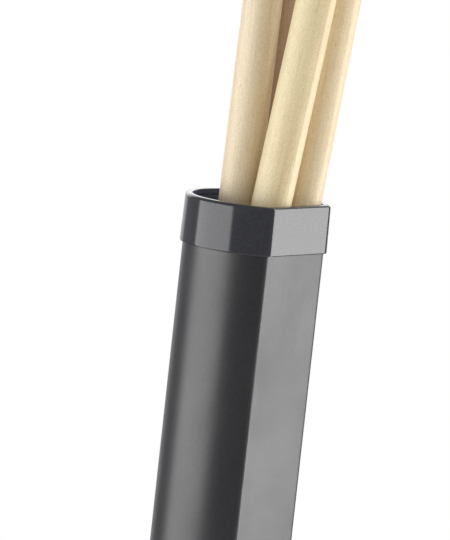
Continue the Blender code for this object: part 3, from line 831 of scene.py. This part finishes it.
def saddle_fasteners():
    """The two countersunk screws that stand out from inside the tube, and their nuts."""
    shank, pitch = 0.0019, 0.0007
    point, cone, land, thread_end = 0.0003, 0.0012, 0.0001, 0.0015
    head, head_face = shank + 0.0010, shank + 0.0006
    recess_width, recess_depth = 0.0034, 0.0008
    nut_across, nut_bore, past = 0.0069, 0.0022, 0.004
    for side, height in (("upper", SCREW_HEIGHT), ("lower", -SCREW_HEIGHT)):
        matrix = frame_from(PIVOT + TUBE_UP * height, TUBE_FRONT, TUBE_UP)
        low, high = reach_along(f"saddle_screw_{side}", matrix.translation, TUBE_FRONT)
        rows = [(0, low), (shank - point, low)] + rod_rows(low + point, high - cone, shank, pitch)
        rows += [(head, high - land), (head_face, high), (0, high)]
        ripple = thread(shank, pitch, low, high - thread_end)
        screw = place(f"countersunk_screw_{side}", revolve(rows, 40, ripple=ripple), matrix)
        combine(screw, cross_recess(recess_width, recess_depth), shifted(matrix, z=high), "DIFFERENCE")
        finish_piece(screw, ZINC, "quiver", "steel", f"saddle_screw_{side}")
        at, half = middle(f"saddle_nut_{side}", matrix.translation, TUBE_FRONT)
        nut = place(f"hex_nut_{side}", hexagon(nut_across, 2 * half), shifted(matrix, z=at))
        combine(nut, cylinder(nut_bore, -past, past, 32), nut.matrix_world, "DIFFERENCE")
        finish_piece(nut, ZINC, "quiver", "steel", f"saddle_nut_{side}")


def bent_outline(first, second, half, steps):
    """The outline of a plate bent round the tube's back, from one radius to the other."""
    return arc((0, 0), first, pi - half, pi + half, steps) + arc((0, 0), second, pi + half, pi - half, steps)


def backing_piece():
    """A thin strip bent to the inside of the tube, countersunk for the two screws."""
    thickness, half_width, edge = 0.0012, 0.007, 0.0003
    bore, cone, land, past = 0.0023, 0.0072, 0.0009, 0.004
    low, high = reach_along("backing_plate", PIVOT, TUBE_UP)
    outer = TUBE_RADIUS - TUBE_WALL - GAP
    inner = outer - thickness
    outline = bent_outline(inner, outer, half_width / outer, 12)
    matrix = shifted(TUBE, z=PIVOT_HEIGHT + (high + low) / 2)
    plate = place("backing_strip", slab(outline, high - low), matrix)
    bevel(plate, edge, 2)
    countersink = revolve([(0, -past), (bore, -past), (bore, -land), (cone, past), (0, past)], 40)
    for height in (SCREW_HEIGHT, -SCREW_HEIGHT):
        at = PIVOT + TUBE_UP * height + TUBE_FRONT * (PIVOT_BEHIND - inner)
        combine(plate, countersink, frame_from(at, TUBE_FRONT, TUBE_UP), "DIFFERENCE")
    finish_piece(plate, ZINC, "quiver", "steel", "backing_plate")


def saddle_piece():
    """A curved plate with two ears.

    Known fault: each ear's outline crosses itself, as its flares start further from the pivot than reach.
    So joining the first ear loses the plate, and the tilt bore leaves its cutter in the mesh, a rod along
    the tilt axis. Only this visual piece has the fault. The CAD solid is whole.
    """
    thickness, half_angle, half_height, plate_edge = 0.0027, radians(27), 0.016, 0.0008
    inner = TUBE_RADIUS + GAP
    outline = bent_outline(inner + thickness, inner, half_angle, 28)
    bracket = place("saddle", slab(outline, 2 * half_height), shifted(TUBE, z=PIVOT_HEIGHT))
    bevel(bracket, plate_edge)

    ear_inner, ear_thickness, ear_radius, ear_edge = 0.0056, 0.003, 0.0075, 0.0005
    flare_x, flare_y, flare_radius, root = 0.0068, 0.0135, 0.0060, 0.0118
    reach = PIVOT_BEHIND - sqrt(inner**2 - ear_inner**2) - GAP
    ear = [(reach, -root), (reach, root)]
    ear += arc((flare_x, flare_y), flare_radius, radians(-20), radians(-110), 8)
    ear += arc((0, 0), ear_radius, radians(85), radians(275), 36)
    ear += arc((flare_x, -flare_y), flare_radius, radians(110), radians(20), 8)
    across = frame_from(PIVOT, Y, TUBE_FRONT)
    for side in (-1, 1):
        matrix = shifted(across, z=side * (ear_inner + ear_thickness / 2))
        combine_slab(bracket, ear, ear_thickness, ear_edge, matrix, "UNION")
    combine(bracket, cylinder(TILT_BORE, -THROUGH, THROUGH, 48), across, "DIFFERENCE")

    screw_bore, bore_low, bore_high = 0.0022, 0.004, 0.016
    for height in (SCREW_HEIGHT, -SCREW_HEIGHT):
        matrix = frame_from(PIVOT + TUBE_UP * height, TUBE_FRONT, TUBE_UP)
        combine(bracket, cylinder(screw_bore, bore_low, bore_high, 32), matrix, "DIFFERENCE")
    finish_piece(bracket, MOULDED, "quiver", "moulded", "saddle_bracket")


def tilt_fasteners():
    """The tilt joint's bolt, washer and two friction discs."""
    across = frame_from(PIVOT, Y, TUBE_FRONT)
    low, high = reach_along("tilt_bolt", PIVOT, Y)
    head, head_across = 0.004, 0.0099
    radius, pitch, threaded, point = 0.003, 0.001, 0.016, 0.0005
    bolt = place("hex_bolt", hexagon(head_across, head), shifted(across, z=high - head / 2))
    rows = [(0, low), (radius - point, low)] + rod_rows(low + point, low + threaded, radius, pitch)
    rows += [(radius, high - head / 2), (0, high - head / 2)]
    combine(bolt, revolve(rows, 48, ripple=thread(radius, pitch, low, low + threaded)), across, "UNION")
    finish_piece(bolt, ZINC, "quiver", "steel", "tilt_bolt")

    washer_radius, washer_edge = 0.006, 0.00015
    at, half = middle("tilt_washer", PIVOT, Y)
    mesh = ring(TILT_BORE, washer_radius, 2 * half, washer_edge)
    washer = place("flat_washer", mesh, shifted(across, z=at))
    finish_piece(washer, ZINC, "tilt_washer", "steel", "tilt_washer")

    disc_radius, disc_edge = 0.0067, 0.0001
    for side in ("front", "rear"):
        at, half = middle(f"friction_disc_{side}", PIVOT, Y)
        mesh = ring(TILT_BORE, disc_radius, 2 * half, disc_edge)
        disc = place(f"fibre_disc_{side}", mesh, shifted(across, z=at))
        finish_piece(disc, FIBRE, "clamp", "friction", f"friction_disc_{side}")


def star_knob(radius, low, high, depth, flutes):
    """A five-lobed knob from low to high, with rounded rims, a dished outer face and fine grip flutes."""
    lobes, sides_per_lobe, flute_depth, edge = 5, 36, 0.00022, 0.0018
    lobe_start, lobe_blend, lobe_shape, rim = 0.35, 0.5, 1.3, 0.97  # shares of the radius, and a power
    underside = [(0, 0.0008), (0.42, 0.0008), (0.47, 0)]  # share of the radius and depth
    dish = [(0.60, 0), (0.56, 0.0002), (0.50, 0.0008), (0.28, 0.0010), (0, 0.0010)]

    def lobed(angle, row_radius, height):
        share = min(1, max(0, (row_radius / radius - lobe_start) / lobe_blend))
        valley = (1 - cos(lobes * angle)) / 2
        dip = depth * share * valley**lobe_shape
        groove = flute_depth * (0.5 - 0.5 * cos(flutes * angle)) * (1 - valley)
        return row_radius - dip - (groove if row_radius > radius * rim else 0)

    rows = [(radius * share, low + inwards) for share, inwards in underside] + [(radius - edge, low)]
    rows += [(radius - edge * (1 - sin(a)), low + edge * (1 - cos(a))) for a in quarter(6)[1:]]
    rows += [(radius, low + edge + (high - low - 2 * edge) * i / 6) for i in range(1, 6)]
    rows += [(radius - edge * (1 - cos(a)), high - edge * (1 - sin(a))) for a in quarter(6)]
    rows += [(radius * share, high - inwards) for share, inwards in dish]
    return revolve(rows, lobes * sides_per_lobe, ripple=lobed)


def tilt_knob_piece():
    """The lobed nut that locks the lean, with its brass insert."""
    across = frame_from(PIVOT, -Y, TUBE_FRONT)
    low, high = reach_along("tilt_knob", PIVOT, -Y)
    radius, lobe_depth, flutes = 0.0105, 0.0022, 60
    knob = place("lean_knob", star_knob(radius, low, high, lobe_depth, flutes), across)
    socket_radius, past = 0.0051, 0.002
    socket_end, bolt_end = low + 0.0063, low + 0.0098
    socket = [(0, low - past), (socket_radius, low - past), (socket_radius, socket_end)]
    socket += [(TILT_BORE, socket_end), (TILT_BORE, bolt_end), (0, bolt_end)]
    combine(knob, revolve(socket, 56), across, "DIFFERENCE")
    finish_piece(knob, MOULDED, "tilt_knob", "moulded", "tilt_knob")

    insert_radius, insert_edge = 0.0048, 0.0002
    at, half = middle("knob_insert", PIVOT, -Y)
    ridges = knurl(ridges=24, depth=0.00018, from_radius=0.0047)
    mesh = ring(TILT_BORE, insert_radius, 2 * half, insert_edge, 144, ridges)
    insert = place("brass_insert", mesh, shifted(across, z=at))
    finish_piece(insert, BRASS, "tilt_knob", "brass", "knob_insert")


# The clamp


def v_face_x(apex, y):
    """How far out the V's face lies at y, for a V whose apex is at apex."""
    return apex - abs(y) / tan(V_HALF_ANGLE)


def rounded_square(half, radius):
    corners = [(half, half), (-half, half), (-half, -half), (half, -half)]
    return rounded_outline([(x, y, radius) for x, y in corners])


def clamp_piece():
    """The C-shaped body, with the tilt tongue, the screw's boss and a pocket in the spine's face."""
    low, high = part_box("clamp_body")
    spine_thickness, lip_slope, edge = 0.007, 0.001, 0.0011
    pocket_from_arm, pocket_from_front = 0.004, 0.012
    front_x, half_width, half_height = 0.018, -low.y, high.z
    spine_outer, spine_inner = high.y, high.y - spine_thickness
    arm_outer, arm_inner = low.x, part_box("screw_bush")[1].x
    apex = (POLE_RADIUS + PAD_THICKNESS + GAP) / sin(V_HALF_ANGLE)
    lip_x = v_face_x(apex, half_width)
    # x, y and corner radius, from the front face round the spine, the arm and the V
    corners = [
        (front_x, -half_width, 0.0015),
        (front_x, spine_outer, 0.009),
        (arm_outer, spine_outer, 0.0065),
        (arm_outer, -half_width, 0.003),
        (arm_inner, -half_width, 0.003),
        (arm_inner, spine_inner, 0.004),
        (lip_x - lip_slope, spine_inner, 0.003),
        (lip_x, half_width, 0.001),
        (apex, 0, 0),
        (lip_x, -half_width, 0.001),
    ]
    body = place("c_clamp", slab(rounded_outline(corners, 10), 2 * half_height), Matrix.Identity(4))
    bevel(body, edge, 4)
    add_tongue(body, front_x)
    add_screw_boss(body, arm_outer, arm_inner)
    cut_pocket(body, arm_inner + pocket_from_arm, front_x - pocket_from_front, spine_outer)
    finish_piece(body, MOULDED, "clamp", "moulded", "clamp_body", smooth=38)


def add_tongue(body, front_x):
    """Adds the tilt tongue to the clamp's front and bores it."""
    radius, thickness, edge, root = 0.007, 0.008, 0.0005, 0.0018
    tongue = arc((PIVOT.x, 0), radius, radians(-90), radians(90), 32)
    tongue += [(front_x - root, radius), (front_x - root, -radius)]
    combine_slab(body, tongue, thickness, edge, UPRIGHT, "UNION")
    combine(body, cylinder(TILT_BORE, -THROUGH, THROUGH, 48), shifted(UPRIGHT, x=PIVOT.x), "DIFFERENCE")


def add_screw_boss(body, arm_outer, arm_inner):
    """Adds the boss on the clamp's arm and bores it for the threaded bush."""
    boss_radius, boss_edge, seat_radius, past = 0.0105, 0.0004, 0.0065, 0.004
    proud, sunk = 0.0001, 0.001
    boss_low, boss_high = arm_outer - proud, arm_inner - sunk
    boss = [(0, boss_low), (boss_radius, boss_low), (boss_radius, boss_high), (0, boss_high)]
    combine(body, revolve(rounded_rows(boss, boss_edge), 72), SCREW_LINE, "UNION")
    combine(body, cylinder(seat_radius, arm_outer - past, arm_inner + past, 64), SCREW_LINE, "DIFFERENCE")


def cut_pocket(body, left, right, face):
    """Sinks a shallow rounded pocket into the spine's outer face."""
    half, radius, thickness, edge = 0.0065, 0.002, 0.004, 0.0006
    corners = [(left, -half), (right, -half), (right, half), (left, half)]
    pocket = rounded_outline([(x, y, radius) for x, y in corners])
    combine_slab(body, pocket, thickness, edge, shifted(UPRIGHT, z=-face), "DIFFERENCE")


def bush_piece():
    """The brass bush that the screw runs in, knurled where it sits in the clamp."""
    bore, radius, edge = 0.0043, 0.0062, 0.0003
    at, half = middle("screw_bush", ORIGIN, X)
    ridges = knurl(ridges=32, depth=0.0002, from_radius=0.0060)
    bush = place("threaded_bush", ring(bore, radius, 2 * half, edge, 160, ridges), shifted(SCREW_LINE, z=at))
    finish_piece(bush, BRASS, "clamp", "brass", "screw_bush")


def v_pad_piece():
    """The rubber pad in the V, with shallow grooves across the two faces that touch the pole."""
    low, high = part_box("fixed_jaw_pad")
    width, far, behind = high.y, 0.012, -0.002
    groove, groove_width, groove_step = 0.0004, 0.0008, 0.0028
    touch = POLE_RADIUS / sin(V_HALF_ANGLE)
    back = touch + PAD_THICKNESS / sin(V_HALF_ANGLE)
    outline = [(back, 0), (v_face_x(back, width), width), (v_face_x(touch, width), width)]
    outline += [(touch, 0), (v_face_x(touch, width), -width), (v_face_x(back, width), -width)]
    pad = place("v_pad", slab(outline, high.z - low.z), Matrix.Identity(4))
    bevel(pad, PAD_EDGE, 2, 50)
    groove_x = v_face_x(touch + groove, far)
    v_shape = [(touch + groove, 0), (groove_x, far), (behind, far), (behind, -far), (groove_x, -far)]
    for i in GROOVES:
        combine(pad, slab(v_shape, groove_width), Matrix.Translation((0, 0, i * groove_step)), "DIFFERENCE")
    finish_piece(pad, RUBBER, "clamp", "pad", "fixed_jaw_pad")


def flat_pad_piece():
    """The rubber pad on the moving jaw, with shallow grooves across its face."""
    low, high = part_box("moving_jaw_pad")
    groove, groove_step, long = 0.0004, 0.0025, 0.02
    thickness = high.x - low.x
    facing = frame_from(Vector(((low.x + high.x) / 2, 0, 0)), X, Z)
    pad = place("flat_pad", slab(rounded_square(high.y, JAW_CORNER), thickness), facing)
    bevel(pad, PAD_EDGE, 2, 50)
    bar = [(-groove, -long), (groove, -long), (groove, long), (-groove, long)]
    for i in GROOVES:
        matrix = shifted(facing, x=i * groove_step, z=thickness / 2)
        combine(pad, slab(bar, 2 * groove), matrix, "DIFFERENCE")
    finish_piece(pad, RUBBER, "pressure_jaw", "pad", "moving_jaw_pad")


def jaw_piece():
    """The moving jaw: a square plate with a socket for the end of the screw."""
    low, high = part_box("pressure_jaw")
    thickness, edge, socket, socket_edge = 0.0035, 0.0009, 0.0062, 0.0004
    # radius, and how far behind the jaw's face
    foot = [(socket, 0.0052), (0.0068, 0.0041), (0.0082, 0.0034), (0.0082, 0.001), (0, 0.001)]
    square = rounded_square(high.y, JAW_CORNER)
    jaw = place("jaw_plate", slab(square, thickness), shifted(SCREW_LINE, z=high.x - thickness / 2))
    bevel(jaw, edge)
    boss = [(0, low.x), (socket - socket_edge, low.x), (socket, low.x + socket_edge)]
    boss += [(radius, high.x - behind) for radius, behind in foot]
    combine(jaw, revolve(boss, 64), SCREW_LINE, "UNION")
    bore, depth, past = 0.0044, 0.0062, 0.003
    combine(jaw, cylinder(bore, low.x - past, low.x + depth, 48), SCREW_LINE, "DIFFERENCE")
    finish_piece(jaw, MOULDED, "pressure_jaw", "moulded", "pressure_jaw")


def clip_piece():
    """The open ring that holds the jaw on the screw's neck."""
    outer, inner, edge = 0.0041, 0.0026, 0.00012
    start, end = radians(25), radians(335)
    at, half = middle("screw_clip", ORIGIN, X)
    outline = arc((0, 0), outer, start, end, 48) + arc((0, 0), inner, end, start, 48)
    clip = place("snap_ring", slab(outline, 2 * half), shifted(SCREW_LINE, z=at))
    bevel(clip, edge, 2)
    finish_piece(clip, ZINC, "pressure_jaw", "steel", "screw_clip")


def screw_piece():
    """The clamp's screw: a thread, then a neck and a button that sit in the jaw."""
    radius, neck, point, thread_end = 0.004, 0.0023, 0.0007, 0.0012
    # radius, and how far before the jaw's socket, then before the screw's end
    shoulder = [(0.0034, 0.0002), (neck, 0.0001)]
    button = [(neck, 0.0016), (0.0037, 0.0015), (0.0037, 0.0004), (0.0034, 0), (0, 0)]
    low, high = reach_along("clamp_screw", ORIGIN, X)
    jaw_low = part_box("pressure_jaw")[0].x
    thread_high = jaw_low - thread_end
    rows = [(0, low), (radius - point, low)] + rod_rows(low + point, thread_high, radius, THREAD_PITCH)
    rows += [(across, jaw_low - before) for across, before in shoulder]
    rows += [(across, high - before) for across, before in button]
    mesh = revolve(rows, 48, ripple=thread(radius, THREAD_PITCH, low, thread_high))
    screw = place("thread_screw", mesh, SCREW_LINE)
    finish_piece(screw, ZINC, "clamp_screw", "steel", "clamp_screw")


def grip_knob_piece():
    """The lobed knob on the screw's outer end, with a short collar towards the clamp."""
    back = frame_from(ORIGIN, -X, Z)
    low, high = reach_along("clamp_knob", ORIGIN, -X)
    radius, lobe_depth, flutes = 0.016, 0.0035, 80
    collar_length, collar_sunk, collar_low, collar_high, collar_edge = 0.003, 0.002, 0.0075, 0.0080, 0.0005
    face = low + collar_length
    inside = face + collar_sunk
    knob = place("grip_knob", star_knob(radius, face, high, lobe_depth, flutes), back)
    collar = rounded_rows([(0, low), (collar_low, low), (collar_high, inside), (0, inside)], collar_edge)
    combine(knob, revolve(collar, 64), back, "UNION")
    bore, depth, past = 0.0043, 0.0128, 0.003
    combine(knob, cylinder(bore, low - past, low + depth, 48), back, "DIFFERENCE")
    finish_piece(knob, MOULDED, "clamp_screw", "moulded", "clamp_knob")


studio_camera()
white_stage()
# name, bearing, distance, height of the centre, width, height and radiance
softbox("left_panel", -68.8, 0.8, 0.08, 1.04, 0.55, 3.0)
softbox("right_panel", 99.0, 0.8, 0.15, 0.335, 1.2, 4.65)
softbox("crest_panel", 180, 2.0, 1.35, 4.0, 1.7, 1.1)
softbox("left_fill", -51, 1.8, 0.5, 0.9, 1.1, 3.0, mirrored=False)
softbox("right_fill", 58, 1.8, 0.5, 0.9, 1.1, 4.1, mirrored=False)
softbox("back_panel", 180, 3.0, 0.8, 4.0, 2.4, 0.6)
tube_piece()
collar_piece()
cap_piece()
foam_piece()
stick_pieces()
backing_piece()
saddle_piece()
saddle_fasteners()
tilt_fasteners()
tilt_knob_piece()
clamp_piece()
bush_piece()
v_pad_piece()
flat_pad_piece()
jaw_piece()
clip_piece()
screw_piece()
grip_knob_piece()
